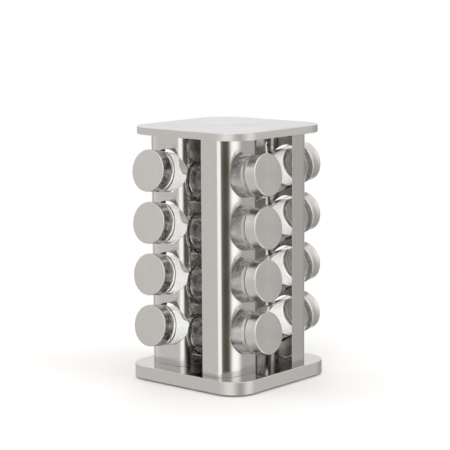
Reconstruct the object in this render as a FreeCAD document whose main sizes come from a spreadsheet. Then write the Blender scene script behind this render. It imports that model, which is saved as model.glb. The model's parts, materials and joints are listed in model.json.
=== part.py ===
import math
import os

import FreeCAD
import Part
import Sketcher

# Revolving spice carousel: four bent steel columns stand between a base tray and a top
# plate, each column holds four glass jars with steel caps, and the whole rack turns on
# a ball race under the tray. +Z is up and the origin is at the centre of the feet.
# The rack repeats every quarter turn. Everything is drawn for row b, whose jars point
# along +X, and is then turned about Z for the other three rows.

DIMENSIONS = {
    # plates and columns
    "sheet_gauge": 0.8,
    "skirt_clearance": 2.5,
    "base_side": 185.0,
    "base_corner": 32.0,
    "base_height": 16.0,
    "top_side": 180.0,
    "top_corner": 38.0,
    "top_height": 9.2,
    "plate_edge_round": 0.7,
    "column_height": 288.0,
    "stiffener_gauge": 1.5,
    "stiffener_margin": 3.0,
    "stiffener_gap": 0.2,
    # one column's bent sheet, seen from above
    "flange_face": 80.5,
    "flange_edge": 27.0,
    "corner_bend": 12.0,
    "corner_bow": 40.0,
    "hole_face": 66.0,
    "hole_face_start": 50.0,
    "hole_face_end": 29.0,
    "return_bend": 14.0,
    "return_edge": 13.5,
    # jar places
    "jar_offset": 42.0,
    "jar_tilt": 8.5,
    "jar_inner_reach": 10.9,
    "lowest_jar_height": 57.3,
    "jar_pitch": 63.8,
    "hole_radius": 26.5,
    "hole_lift": 1.2,
    "hole_cut_start": 54.0,
    "hole_cut_length": 27.0,
    "tongue_width": 14.0,
    "tongue_depth": 11.5,
    "tongue_drop": 24.5,
    # jar, measured along its own axis from its bottom
    "jar_radius": 25.0,
    "jar_wall": 2.2,
    "jar_floor": 4.0,
    "jar_foot_round": 4.0,
    "jar_shoulder": 91.5,
    "neck_start": 95.0,
    "neck_radius": 21.8,
    "neck_bore": 19.2,
    "neck_top": 109.9,
    "bead_radius": 23.2,
    "bead_low": 99.0,
    "bead_high": 105.0,
    "bead_width": 2.0,
    # cap, on the same axis
    "cap_start": 96.0,
    "cap_top": 112.0,
    "cap_radius": 25.75,
    "cap_gauge": 0.5,
    "cap_hem": 1.1,
    "cap_edge_round": 1.0,
    "liner_gap": 0.1,
    "liner_chamfer": 1.0,
    "liner_bore": 23.5,
    "liner_seal": 110.2,
    # screws and the tabs they hold
    "tab_size": 12.0,
    "tab_hole": 1.8,
    "outer_tab_reach": 59.6,
    "inner_tab_reach": 14.0,
    "screw_radius": 1.6,
    "screw_head_radius": 3.2,
    "screw_head_height": 2.0,
    "screw_length": 5.0,
    "drill_margin": 1.0,
    # swivel
    "pad_height": 2.0,
    "pad_radius": 8.0,
    "pad_circle": 56.0,
    "race_plate_top": 4.0,
    "race_plate_radius": 70.0,
    "race_circle": 50.0,
    "race_half_width": 6.5,
    "lower_race_top": 4.8,
    "upper_race_bottom": 6.6,
    "ball_radius": 2.0,
    "ball_height": 5.7,
    "groove_radius": 2.3,
    "cage_half_width": 4.5,
    "cage_gauge": 0.6,
    "web_bottom": 9.0,
    "web_gauge": 2.0,
    "flange_radius": 66.0,
    "flange_inner": 53.0,
    "riser_radius": 57.0,
    "post_radius": 5.0,
    "post_bore": 5.3,
    "post_top": 11.4,
    "post_hole_bottom": 5.0,
    "washer_radius": 9.0,
    "washer_gauge": 0.8,
    "washer_bore": 1.7,
    "swivel_screw_circle": 61.5,
}
BALLS = 12
ROWS = {"a": -90, "b": 0, "c": 90, "d": 180}
LEVELS = (1, 2, 3, 4)

doc = FreeCAD.newDocument("spice_carousel")
sheet = doc.addObject("Spreadsheet::Sheet", "sizes")
for line, (alias, value) in enumerate(DIMENSIONS.items(), start=1):
    sheet.set(f"A{line}", alias)
    sheet.set(f"B{line}", str(value))
    sheet.setAlias(f"B{line}", alias)
doc.recompute()

# Heights and places that follow from the driving dimensions.
BASE_TOP = "(sizes.skirt_clearance + sizes.base_height)"
BASE_UNDERSIDE = f"({BASE_TOP} - sizes.sheet_gauge)"
BASE_STIFFENER = f"({BASE_UNDERSIDE} - sizes.stiffener_gauge)"
COLUMN_TOP = f"({BASE_TOP} + sizes.column_height)"
RETURN_FACE = "(sizes.hole_face_end - sizes.return_bend)"

pieces = {}


def number(expression):
    """The value of an expression in the sheet's names."""
    value = sheet.evalExpression(str(expression))
    return float(getattr(value, "Value", value))


def bind(thing, **expressions):
    """Bind properties of a document object to expressions in the sheet's names."""
    for name, expression in expressions.items():
        thing.setExpression(name, str(expression))
    return thing


def placed(thing, x=0, y=0, z=0, turn=0, tip=0):
    """Turn a thing about Z, after moving it to x, y, z and tipping it about Y."""
    thing.setExpression(
        "Placement",
        f"placement(vector(0; 0; 0); rotationz({turn}))"
        f" * placement(vector({x}; {y}; {z}); rotationy({tip}))",
    )
    return thing


def cylinder(name, radius, height, **place):
    return placed(bind(doc.addObject("Part::Cylinder", name), Radius=radius, Height=height), **place)


def block(name, x_size, y_size, z_size, **place):
    solid = bind(doc.addObject("Part::Box", name), Length=x_size, Width=y_size, Height=z_size)
    return placed(solid, **place)


def fused(name, *solids):
    whole = doc.addObject("Part::MultiFuse", name)
    whole.Shapes = list(solids)
    return whole


def cut(name, solid, *tools):
    """The solid less every tool."""
    result = doc.addObject("Part::Cut", name)
    result.Base = solid
    result.Tool = tools[0] if len(tools) == 1 else fused(name + "_tools", *tools)
    return result


def group(name, solids):
    """Separate solids kept together as one piece."""
    whole = doc.addObject("Part::Compound", name)
    whole.Links = list(solids)
    return whole


def keep(node, thing):
    """Give a finished sub-part its name."""
    thing.Label = node
    pieces[node] = thing
    return thing


def origin_plane(body, role):
    return next(feature for feature in body.Origin.OriginFeatures if feature.Role == role)


def body_with_sketch(name, role):
    body = doc.addObject("PartDesign::Body", name)
    sketch = body.newObject("Sketcher::SketchObject", name + "_sketch")
    sketch.AttachmentSupport = [(origin_plane(body, role), "")]
    sketch.MapMode = "FlatFace"
    return body, sketch


def fix_point(sketch, edge, end, x, y):
    """Hold one end of an edge at x, y from the sketch's origin."""
    for kind, expression in (("DistanceX", x), ("DistanceY", y)):
        held = sketch.addConstraint(Sketcher.Constraint(kind, -1, 1, edge, end, number(expression)))
        sketch.setExpression(f"Constraints[{held}]", str(expression))


def fix_radius(sketch, edge, radius):
    held = sketch.addConstraint(Sketcher.Constraint("Radius", edge, number(radius)))
    sketch.setExpression(f"Constraints[{held}]", str(radius))


def draw_polygon(sketch, corners):
    """A closed outline through corners given as pairs of expressions."""
    points = [FreeCAD.Vector(number(x), number(y), 0) for x, y in corners]
    for start, end in zip(points, points[1:] + points[:1]):
        sketch.addGeometry(Part.LineSegment(start, end))
    for edge, (x, y) in enumerate(corners):
        following = (edge + 1) % len(corners)
        sketch.addConstraint(Sketcher.Constraint("Coincident", edge, 2, following, 1))
        fix_point(sketch, edge, 1, x, y)


def round_edges(body, feature, radius, wanted):
    """Round the edges of a feature that the test accepts."""
    doc.recompute()
    names = [f"Edge{i}" for i, edge in enumerate(feature.Shape.Edges, start=1) if wanted(edge)]
    rounded = body.newObject("PartDesign::Fillet", feature.Name + "_round")
    rounded.Base = (feature, names)
    return bind(rounded, Radius=radius)


def circle_at(radius, height):
    """A test for the full circle of this radius about the axis at this height."""

    def wanted(edge):
        return (
            isinstance(edge.Curve, Part.Circle)
            and abs(edge.Curve.Radius - number(radius)) < 1e-4
            and abs(edge.Curve.Center.z - number(height)) < 1e-4
        )

    return wanted


def turned(name, outline):
    """A body revolved about its own Z axis from corners (radius, height)."""
    body, sketch = body_with_sketch(name, "XZ_Plane")
    draw_polygon(sketch, outline)
    revolved = body.newObject("PartDesign::Revolution", name + "_turned")
    revolved.Profile = sketch
    revolved.ReferenceAxis = (sketch, ["V_Axis"])
    revolved.Angle = 360
    return body, revolved


def draw_rounded_square(sketch, side, corner):
    """A square about the origin with tangent round corners."""
    half = number(side) / 2
    radius = number(corner)
    flat = half - radius
    for quarter in range(4):
        turn = FreeCAD.Rotation(FreeCAD.Vector(0, 0, 1), 90 * quarter)
        start = turn.multVec(FreeCAD.Vector(half, -flat, 0))
        end = turn.multVec(FreeCAD.Vector(half, flat, 0))
        centre = turn.multVec(FreeCAD.Vector(flat, flat, 0))
        circle = Part.Circle(centre, FreeCAD.Vector(0, 0, 1), radius)
        angle = math.radians(90 * quarter)
        sketch.addGeometry(Part.LineSegment(start, end))
        sketch.addGeometry(Part.ArcOfCircle(circle, angle, angle + math.pi / 2))
    for edge in range(8):
        sketch.addConstraint(Sketcher.Constraint("Tangent", edge, 2, (edge + 1) % 8, 1))
    for quarter, direction in enumerate(("Vertical", "Horizontal", "Vertical", "Horizontal")):
        sketch.addConstraint(Sketcher.Constraint(direction, 2 * quarter))
    fix_point(sketch, 0, 1, f"{side} / 2", f"{corner} - {side} / 2")
    fix_point(sketch, 4, 1, f"-{side} / 2", f"{side} / 2 - {corner}")
    fix_radius(sketch, 1, corner)


def rounded_plate(name, side, corner, height, bottom, edge_round=None):
    """A flat square plate with round corners, and with its upper rim rounded if asked."""
    body, sketch = body_with_sketch(name, "XY_Plane")
    draw_rounded_square(sketch, side, corner)
    pad = body.newObject("PartDesign::Pad", name + "_pad")
    pad.Profile = sketch
    bind(pad, Length=height)
    if edge_round:

        def on_upper_rim(edge):
            return abs(edge.BoundBox.ZMin - number(height)) < 1e-4

        round_edges(body, pad, edge_round, on_upper_rim)
    return placed(body, z=bottom)


def pan(name, side, corner, height, bottom):
    """A plate folded down all round from one sheet, open underneath."""
    outside = rounded_plate(name + "_outside", side, corner, height, bottom, "sizes.plate_edge_round")
    inside = rounded_plate(
        name + "_inside",
        f"({side} - 2 * sizes.sheet_gauge)",
        f"({corner} - sizes.sheet_gauge)",
        f"({height} - sizes.sheet_gauge)",
        bottom,
    )
    return cut(name, outside, inside)


def screw(name, x, y, seat, turn, upward, length="sizes.screw_length"):
    """A pan-head screw whose head rests at the seat height and whose shank points up or down."""
    head_bottom = f"({seat} - sizes.screw_head_height)" if upward else seat
    shank_bottom = seat if upward else f"({seat} - {length})"
    head = cylinder(
        name + "_head",
        "sizes.screw_head_radius",
        "sizes.screw_head_height",
        x=x,
        y=y,
        z=head_bottom,
        turn=turn,
    )
    shank = cylinder(name + "_shank", "sizes.screw_radius", length, x=x, y=y, z=shank_bottom, turn=turn)
    return fused(name, head, shank)


# Where each column's two end tabs are screwed down, for row b.
TAB_PLACES = {
    "outer": ("sizes.outer_tab_reach", "-(sizes.hole_face_start + sizes.hole_face_end) / 2"),
    "inner": ("sizes.inner_tab_reach", f"-({RETURN_FACE} + sizes.tab_size / 2)"),
}


def tab_drills(name, bottom, height, turn):
    """The drills for one column's two tab screws."""
    return [
        cylinder(f"{name}_{place}", "sizes.tab_hole", height, x=x, y=y, z=bottom, turn=turn)
        for place, (x, y) in TAB_PLACES.items()
    ]


def jar_height(level):
    """Height of the middle of a jar's bottom, with level 1 at the top."""
    return f"(sizes.lowest_jar_height + {len(LEVELS) - level} * sizes.jar_pitch)"


def on_jar_axis(thing, turn, level, lift=0, along=0):
    """Put a thing that points along its own Z on a jar's tilted axis."""
    return placed(
        thing,
        x=f"(-sizes.jar_inner_reach - ({lift}) * sin(sizes.jar_tilt) + ({along}) * cos(sizes.jar_tilt))",
        y="-sizes.jar_offset",
        z=f"({jar_height(level)} + ({lift}) * cos(sizes.jar_tilt) + ({along}) * sin(sizes.jar_tilt))",
        turn=turn,
        tip="(90 - sizes.jar_tilt)",
    )


def draw_sheet_line(sketch, inset):
    """One face of a column's sheet: flange, bend, bowed corner, hole face, bend, return.

    The inset is the depth of this face below the sheet's outer face.
    """
    first = sketch.GeometryCount
    up = FreeCAD.Vector(0, 0, 1)
    depth = number(inset)
    flange, hole_face = number("sizes.flange_face") - depth, number("sizes.hole_face") - depth
    bend, bow, inner_bend = (
        number(f"sizes.{alias}") - depth for alias in ("corner_bend", "corner_bow", "return_bend")
    )
    flat_start, flat_end = number("sizes.hole_face_start"), number("sizes.hole_face_end")
    bow_centre = FreeCAD.Vector(hole_face - bow, -flat_start, 0)
    bend_y = -flange + bend
    bend_x = bow_centre.x + math.sqrt((bow - bend) ** 2 - (bend_y + flat_start) ** 2)
    bend_centre = FreeCAD.Vector(bend_x, bend_y, 0)
    meeting = math.atan2(bend_y + flat_start, bend_x - bow_centre.x)
    inner_centre = FreeCAD.Vector(hole_face - inner_bend, -flat_end, 0)
    return_y = -flat_end + inner_bend
    edge_x, return_x = number("sizes.flange_edge"), -number("sizes.return_edge")

    def line(x0, y0, x1, y1):
        return Part.LineSegment(FreeCAD.Vector(x0, y0, 0), FreeCAD.Vector(x1, y1, 0))

    def arc(centre, radius, start, end):
        return Part.ArcOfCircle(Part.Circle(centre, up, radius), start, end)

    for edge in (
        line(edge_x, -flange, bend_x, -flange),
        arc(bend_centre, bend, -math.pi / 2, meeting),
        arc(bow_centre, bow, meeting, 0),
        line(hole_face, -flat_start, hole_face, -flat_end),
        arc(inner_centre, inner_bend, 0, math.pi / 2),
        line(inner_centre.x, return_y, return_x, return_y),
    ):
        sketch.addGeometry(edge)
    for edge in range(first, first + 5):
        sketch.addConstraint(Sketcher.Constraint("Tangent", edge, 2, edge + 1, 1))
    for offset, direction in ((0, "Horizontal"), (3, "Vertical"), (5, "Horizontal")):
        sketch.addConstraint(Sketcher.Constraint(direction, first + offset))
    fix_point(sketch, first, 1, "sizes.flange_edge", f"{inset} - sizes.flange_face")
    fix_point(sketch, first + 3, 1, f"sizes.hole_face - {inset}", "-sizes.hole_face_start")
    fix_point(sketch, first + 5, 2, "-sizes.return_edge", f"-{RETURN_FACE} - {inset}")
    for offset, radius in ((1, "corner_bend"), (2, "corner_bow"), (4, "return_bend")):
        fix_radius(sketch, first + offset, f"sizes.{radius} - {inset}")
    return first


def bent_sheet(name):
    """A column's sheet, bent from one piece, standing on the base tray."""
    body, sketch = body_with_sketch(name, "XY_Plane")
    outer = draw_sheet_line(sketch, "0")
    inner = draw_sheet_line(sketch, "sizes.sheet_gauge")
    for outer_edge, inner_edge, end in ((outer, inner, 1), (outer + 5, inner + 5, 2)):
        corners = [sketch.getPoint(edge, end) for edge in (outer_edge, inner_edge)]
        closing = sketch.addGeometry(Part.LineSegment(*corners))
        sketch.addConstraint(Sketcher.Constraint("Coincident", closing, 1, outer_edge, end))
        sketch.addConstraint(Sketcher.Constraint("Coincident", closing, 2, inner_edge, end))
    pad = body.newObject("PartDesign::Pad", name + "_pad")
    pad.Profile = sketch
    bind(pad, Length="sizes.column_height")
    return placed(body, z=BASE_TOP)


def column_panel(row, turn):
    """One bent sheet with its four jar holes, its end tabs and its jar tongues."""
    name = f"column_{row}"
    added = [bent_sheet(name + "_wall")]
    ends = {"foot": BASE_TOP, "head": f"({COLUMN_TOP} - sizes.sheet_gauge)"}
    for end, bottom in ends.items():
        outer_x, outer_y = TAB_PLACES["outer"]
        inner_x, inner_y = TAB_PLACES["inner"]
        half = "sizes.tab_size / 2"
        added.append(
            block(
                f"{name}_{end}_outer_tab",
                f"(sizes.hole_face - sizes.sheet_gauge / 2 - {outer_x} + {half})",
                "sizes.tab_size",
                "sizes.sheet_gauge",
                x=f"({outer_x} - {half})",
                y=f"({outer_y} - {half})",
                z=bottom,
            )
        )
        added.append(
            block(
                f"{name}_{end}_inner_tab",
                "sizes.tab_size",
                "(sizes.tab_size - sizes.sheet_gauge / 2)",
                "sizes.sheet_gauge",
                x=f"({inner_x} - {half})",
                y=f"({inner_y} - {half})",
                z=bottom,
            )
        )
    for level in LEVELS:
        added.append(
            block(
                f"{name}_tongue_{level}",
                "sizes.tongue_width",
                "(sizes.tongue_depth + sizes.sheet_gauge / 2)",
                "sizes.sheet_gauge",
                x="(sizes.jar_offset - sizes.tongue_width / 2)",
                y=f"(-{RETURN_FACE} - sizes.sheet_gauge / 2)",
                z=f"({jar_height(level)} - sizes.tongue_drop - sizes.sheet_gauge)",
            )
        )

    holes = []
    for end, bottom in ends.items():
        below = f"({bottom} - sizes.drill_margin)"
        through = "(sizes.sheet_gauge + 2 * sizes.drill_margin)"
        holes += tab_drills(f"{name}_{end}_drill", below, through, 0)
    start = "((sizes.hole_cut_start + sizes.jar_inner_reach) / cos(sizes.jar_tilt))"
    for level in LEVELS:
        drill = doc.addObject("Part::Cylinder", f"{name}_hole_{level}")
        bind(drill, Radius="sizes.hole_radius", Height="sizes.hole_cut_length")
        holes.append(on_jar_axis(drill, 0, level, lift="sizes.hole_lift", along=start))
    panel = cut(name, fused(name + "_sheet", *added), *holes)
    return keep(f"column_panel_{row}", placed(panel, turn=turn))


def jar_glass(node, turn, level):
    """A straight-sided glass jar: thick floor, round shoulder, neck with two beads."""
    inner = "(sizes.jar_radius - sizes.jar_wall)"
    outline = [
        (0, 0),
        ("sizes.jar_radius", 0),
        ("sizes.jar_radius", "sizes.jar_shoulder"),
        ("sizes.neck_radius", "sizes.neck_start"),
    ]
    for bead in ("sizes.bead_low", "sizes.bead_high"):
        outline += [
            ("sizes.neck_radius", bead),
            ("sizes.bead_radius", f"({bead} + sizes.bead_width / 4)"),
            ("sizes.bead_radius", f"({bead} + sizes.bead_width * 3 / 4)"),
            ("sizes.neck_radius", f"({bead} + sizes.bead_width)"),
        ]
    outline += [
        ("sizes.neck_radius", "sizes.neck_top"),
        ("sizes.neck_bore", "sizes.neck_top"),
        ("sizes.neck_bore", "sizes.neck_start"),
        (inner, "(sizes.jar_shoulder - sizes.jar_wall / 2)"),
        (inner, "(sizes.jar_floor + sizes.jar_wall)"),
        (f"({inner} - sizes.jar_wall)", "sizes.jar_floor"),
        (0, "sizes.jar_floor"),
    ]
    body, solid = turned(node + "_body", outline)
    rounded = round_edges(body, solid, "sizes.jar_foot_round", circle_at("sizes.jar_radius", 0))
    round_edges(body, rounded, "sizes.jar_wall", circle_at("sizes.jar_radius", "sizes.jar_shoulder"))
    return keep(node, on_jar_axis(body, turn, level))


def jar_cap(node, turn, level):
    """A drawn steel cap shell with a threaded plastic liner inside it."""
    inner = "(sizes.cap_radius - sizes.cap_gauge)"
    under = "(sizes.cap_top - sizes.cap_gauge)"
    shell, shell_solid = turned(
        node + "_shell",
        [
            (0, "sizes.cap_top"),
            (0, under),
            (inner, under),
            (inner, "(sizes.cap_start + sizes.cap_gauge)"),
            ("(sizes.cap_radius - sizes.cap_hem)", "(sizes.cap_start + sizes.cap_gauge)"),
            ("(sizes.cap_radius - sizes.cap_hem)", "sizes.cap_start"),
            ("sizes.cap_radius", "sizes.cap_start"),
            ("sizes.cap_radius", "sizes.cap_top"),
        ],
    )
    round_edges(shell, shell_solid, "sizes.cap_edge_round", circle_at("sizes.cap_radius", "sizes.cap_top"))
    liner_radius = f"({inner} - sizes.liner_gap)"
    liner_top = f"({under} - sizes.liner_gap)"
    liner_foot = "(sizes.cap_start + sizes.cap_gauge + sizes.liner_gap)"
    liner, _ = turned(
        node + "_liner",
        [
            (0, liner_top),
            (0, "sizes.liner_seal"),
            ("sizes.liner_bore", "sizes.liner_seal"),
            ("sizes.liner_bore", liner_foot),
            (liner_radius, liner_foot),
            (liner_radius, f"({liner_top} - sizes.liner_chamfer)"),
            (f"({liner_radius} - sizes.liner_chamfer)", liner_top),
        ],
    )
    return keep(node, on_jar_axis(group(node + "_set", [shell, liner]), turn, level))


def base_plates():
    """The base tray, and the stiffener under its sheet that takes the screws."""
    tray = pan("tray", "sizes.base_side", "sizes.base_corner", "sizes.base_height", "sizes.skirt_clearance")
    stiffener = rounded_plate(
        "tray_stiffener",
        "(sizes.base_side - 2 * sizes.stiffener_margin)",
        "(sizes.base_corner - sizes.stiffener_margin)",
        "sizes.stiffener_gauge",
        BASE_STIFFENER,
    )
    drills = []
    for row, turn in ROWS.items():
        drills += tab_drills(f"tray_drill_{row}", BASE_STIFFENER, "sizes.base_height", turn)
    keep("base_tray", cut("tray_drilled", tray, *drills))
    drills = []
    drill_bottom = f"({BASE_STIFFENER} - sizes.drill_margin)"
    for row, turn in ROWS.items():
        drills += tab_drills(f"stiffener_drill_{row}", drill_bottom, "sizes.base_height", turn)
        drills.append(
            cylinder(
                f"swivel_drill_{row}",
                "sizes.tab_hole",
                "sizes.base_height",
                x="sizes.swivel_screw_circle",
                z=drill_bottom,
                turn=turn,
            )
        )
    keep("base_stiffener", cut("tray_stiffener_drilled", stiffener, *drills))


def top_plates():
    """The top plate, and the stiffener inside it that the columns are screwed to."""
    keep("top_plate", pan("top", "sizes.top_side", "sizes.top_corner", "sizes.top_height", COLUMN_TOP))
    stiffener = rounded_plate(
        "top_inner_plate",
        "(sizes.top_side - 2 * sizes.sheet_gauge - 2 * sizes.stiffener_gap)",
        "(sizes.top_corner - sizes.sheet_gauge - sizes.stiffener_gap)",
        "sizes.stiffener_gauge",
        COLUMN_TOP,
    )
    drills = []
    drill_bottom = f"({COLUMN_TOP} - sizes.drill_margin)"
    for row, turn in ROWS.items():
        drills += tab_drills(f"top_drill_{row}", drill_bottom, "sizes.top_height", turn)
    keep("top_stiffener", cut("top_inner_plate_drilled", stiffener, *drills))


def screws():
    """The screws through both stiffeners, and those that hold the swivel."""
    top_seat = f"({COLUMN_TOP} + sizes.stiffener_gauge)"
    top, bottom, swivel = [], [], []
    flange_bottom = f"({BASE_STIFFENER} - sizes.web_gauge)"
    for row, turn in ROWS.items():
        for place, (x, y) in TAB_PLACES.items():
            top.append(screw(f"top_screw_{row}_{place}", x, y, top_seat, turn, upward=False))
            bottom.append(screw(f"base_screw_{row}_{place}", x, y, BASE_STIFFENER, turn, upward=True))
        swivel.append(
            screw(
                f"swivel_screw_{row}",
                "sizes.swivel_screw_circle",
                0,
                flange_bottom,
                turn,
                upward=True,
                length="(sizes.web_gauge + sizes.stiffener_gauge)",
            )
        )
    keep("top_screws", group("top_screw_set", top))
    keep("base_screws", group("base_screw_set", bottom))
    keep("swivel_screws", group("swivel_screw_set", swivel))


def ball_groove(name):
    groove = doc.addObject("Part::Torus", name)
    bind(groove, Radius1="sizes.race_circle", Radius2="sizes.groove_radius")
    return placed(groove, z="sizes.ball_height")


def swivel():
    """Two races with balls between them, held together by a washer and a centre screw."""
    inside = "(sizes.race_circle - sizes.race_half_width)"
    outside = "(sizes.race_circle + sizes.race_half_width)"
    lower, _ = turned(
        "lower_race",
        [
            (0, "sizes.pad_height"),
            ("sizes.race_plate_radius", "sizes.pad_height"),
            ("sizes.race_plate_radius", "sizes.race_plate_top"),
            (outside, "sizes.race_plate_top"),
            (outside, "sizes.lower_race_top"),
            (inside, "sizes.lower_race_top"),
            (inside, "sizes.race_plate_top"),
            ("sizes.post_radius", "sizes.race_plate_top"),
            ("sizes.post_radius", "sizes.post_top"),
            ("sizes.screw_radius", "sizes.post_top"),
            ("sizes.screw_radius", "sizes.post_hole_bottom"),
            (0, "sizes.post_hole_bottom"),
        ],
    )
    keep("swivel_lower_race", cut("lower_race_grooved", lower, ball_groove("lower_groove")))

    web_top = "(sizes.web_bottom + sizes.web_gauge)"
    flange_bottom = f"({BASE_STIFFENER} - sizes.web_gauge)"
    upper, _ = turned(
        "upper_race",
        [
            ("sizes.post_bore", "sizes.web_bottom"),
            (inside, "sizes.web_bottom"),
            (inside, "sizes.upper_race_bottom"),
            (outside, "sizes.upper_race_bottom"),
            ("sizes.riser_radius", web_top),
            ("sizes.riser_radius", flange_bottom),
            ("sizes.flange_radius", flange_bottom),
            ("sizes.flange_radius", BASE_STIFFENER),
            ("sizes.flange_inner", BASE_STIFFENER),
            ("sizes.flange_inner", web_top),
            ("sizes.post_bore", web_top),
        ],
    )
    drills = [
        cylinder(
            f"race_drill_{row}",
            "sizes.tab_hole",
            "sizes.base_height",
            x="sizes.swivel_screw_circle",
            z=web_top,
            turn=turn,
        )
        for row, turn in ROWS.items()
    ]
    keep("swivel_upper_race", cut("upper_race_drilled", upper, ball_groove("upper_groove"), *drills))

    balls, pockets = [], []
    for index in range(BALLS):
        turn = 360 / BALLS * index
        ball = bind(doc.addObject("Part::Sphere", f"ball_{index}"), Radius="sizes.ball_radius")
        balls.append(placed(ball, x="sizes.race_circle", z="sizes.ball_height", turn=turn))
        pockets.append(
            cylinder(
                f"pocket_{index}",
                "sizes.groove_radius",
                "(2 * sizes.ball_radius)",
                x="sizes.race_circle",
                z="(sizes.ball_height - sizes.ball_radius)",
                turn=turn,
            )
        )
    keep("bearing_balls", group("ball_set", balls))
    cage_inside = "(sizes.race_circle - sizes.cage_half_width)"
    cage_outside = "(sizes.race_circle + sizes.cage_half_width)"
    cage_bottom = "(sizes.ball_height - sizes.cage_gauge / 2)"
    cage_top = "(sizes.ball_height + sizes.cage_gauge / 2)"
    cage, _ = turned(
        "cage_ring",
        [
            (cage_inside, cage_bottom),
            (cage_outside, cage_bottom),
            (cage_outside, cage_top),
            (cage_inside, cage_top),
        ],
    )
    keep("ball_cage", cut("cage_drilled", cage, *pockets))

    washer, _ = turned(
        "washer_ring",
        [
            ("sizes.washer_bore", "sizes.post_top"),
            ("sizes.washer_radius", "sizes.post_top"),
            ("sizes.washer_radius", "(sizes.post_top + sizes.washer_gauge)"),
            ("sizes.washer_bore", "(sizes.post_top + sizes.washer_gauge)"),
        ],
    )
    keep("swivel_washer", washer)
    seat = "(sizes.post_top + sizes.washer_gauge)"
    keep("swivel_centre_screw", screw("centre_screw", 0, 0, seat, 0, upward=False))
    pads = [
        cylinder(
            f"pad_{row}",
            "sizes.pad_radius",
            "sizes.pad_height",
            x="sizes.pad_circle",
            turn=turn + 45,
        )
        for row, turn in ROWS.items()
    ]
    keep("foot_pads", group("pad_set", pads))


base_plates()
top_plates()
screws()
swivel()
for row, turn in ROWS.items():
    column_panel(row, turn)
    for level in LEVELS:
        jar_glass(f"jar_{row}{level}", turn, level)
        jar_cap(f"cap_{row}{level}", turn, level)

doc.recompute()
for thing in doc.Objects:
    if "Invalid" in thing.State or "Error" in thing.State:
        raise RuntimeError(f"{thing.Label} failed: {thing.State}")
for node, piece in pieces.items():
    if piece.Shape.isNull() or not piece.Shape.isValid() or not piece.Shape.Solids:
        raise RuntimeError(f"{node} has no valid solid")

os.makedirs("parts", exist_ok=True)
for node, piece in pieces.items():
    piece.Shape.exportStep(f"parts/{node}.step")
print(f"{len(pieces)} sub-parts written")
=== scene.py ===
import json
import math

import bmesh
import bpy
from mathutils import Matrix, Vector


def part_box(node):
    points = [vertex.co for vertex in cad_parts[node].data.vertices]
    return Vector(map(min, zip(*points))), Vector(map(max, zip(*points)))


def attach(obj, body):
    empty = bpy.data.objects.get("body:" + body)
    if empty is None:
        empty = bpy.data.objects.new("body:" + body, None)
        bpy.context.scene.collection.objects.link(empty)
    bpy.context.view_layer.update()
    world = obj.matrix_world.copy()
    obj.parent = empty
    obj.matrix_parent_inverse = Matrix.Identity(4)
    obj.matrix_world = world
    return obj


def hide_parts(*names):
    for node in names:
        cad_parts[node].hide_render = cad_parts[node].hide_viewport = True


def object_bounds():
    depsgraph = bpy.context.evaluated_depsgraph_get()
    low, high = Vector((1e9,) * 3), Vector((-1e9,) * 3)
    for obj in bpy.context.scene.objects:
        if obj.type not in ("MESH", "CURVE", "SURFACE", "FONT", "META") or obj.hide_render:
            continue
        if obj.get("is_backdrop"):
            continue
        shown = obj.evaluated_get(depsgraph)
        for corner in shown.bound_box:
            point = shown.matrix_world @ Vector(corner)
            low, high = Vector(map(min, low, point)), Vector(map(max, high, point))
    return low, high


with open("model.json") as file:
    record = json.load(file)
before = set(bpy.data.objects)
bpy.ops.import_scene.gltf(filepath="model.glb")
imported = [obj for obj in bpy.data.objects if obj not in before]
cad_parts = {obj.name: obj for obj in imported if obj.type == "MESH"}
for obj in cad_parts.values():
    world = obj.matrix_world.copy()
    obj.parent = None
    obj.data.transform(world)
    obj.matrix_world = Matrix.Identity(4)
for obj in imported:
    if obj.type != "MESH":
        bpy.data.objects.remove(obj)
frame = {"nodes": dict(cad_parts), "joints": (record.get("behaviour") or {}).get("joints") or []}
cad_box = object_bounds()

MM = 0.001
ROWS = {"a": -90, "b": 0, "c": 90, "d": 180}
LEVELS = (1, 2, 3, 4)
AROUND = 96  # segments round a jar or a cap
TOUCH = 1e-7  # lengths closer than this, in metres, count as the same

# Camera, from a fit to the edges of the two plates.
CAMERA_AZIMUTH = 40.73
CAMERA_ELEVATION = 9.63
CAMERA_ROLL = -0.32
CAMERA_DISTANCE = 2.146
CAMERA_AIM = Vector((0, 0, 0.1575))
CAMERA_LENS = 137.7
SENSOR_WIDTH = 36.0
CAMERA_SHIFT = (-0.0072, 0.0583)

# One column's bent sheet, seen from above in row b's place. Its flange faces row a.
SHEET_GAUGE = 0.8 * MM
FLANGE_FACE = 80.5 * MM
FLANGE_EDGE = 27.0 * MM
CORNER_BEND = 12.0 * MM
CORNER_BOW = 40.0 * MM
HOLE_FACE = 66.0 * MM
HOLE_FACE_START = 50.0 * MM
HOLE_FACE_END = 29.0 * MM
RETURN_BEND = 14.0 * MM
RETURN_EDGE = 13.5 * MM
HOLE_RADIUS = 26.5 * MM
HOLE_LIFT = 1.2 * MM
HOLE_MARGIN = 3.0 * MM  # plain sheet kept beside the holes' patches
JAR_OFFSET = -42.0 * MM  # the holes' middle, across the hole face
EDGE_BREAK = 0.2 * MM
HOLE_EDGE_ROUND = 0.5 * MM
FOOT_BREAK = 0.5 * MM  # the outer edge at the sheet's foot
TONGUE_WIDTH = 14.0 * MM
TONGUE_DEPTH = 11.5 * MM
TONGUE_DROP = 24.5 * MM
TAB_SIZE = 12.0 * MM
OUTER_TAB_REACH = 59.6 * MM
INNER_TAB_REACH = 14.0 * MM

# Widest spacing of the sheet's mesh on each stretch.
FLANGE_STEP = 4.0 * MM
BEND_STEP = 0.8 * MM
BOW_STEP = 1.5 * MM
PLAIN_STEP = 5.0 * MM
HOLE_STEP_ALONG = 1.9 * MM
HOLE_STEP_UP = 2.6 * MM

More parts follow.
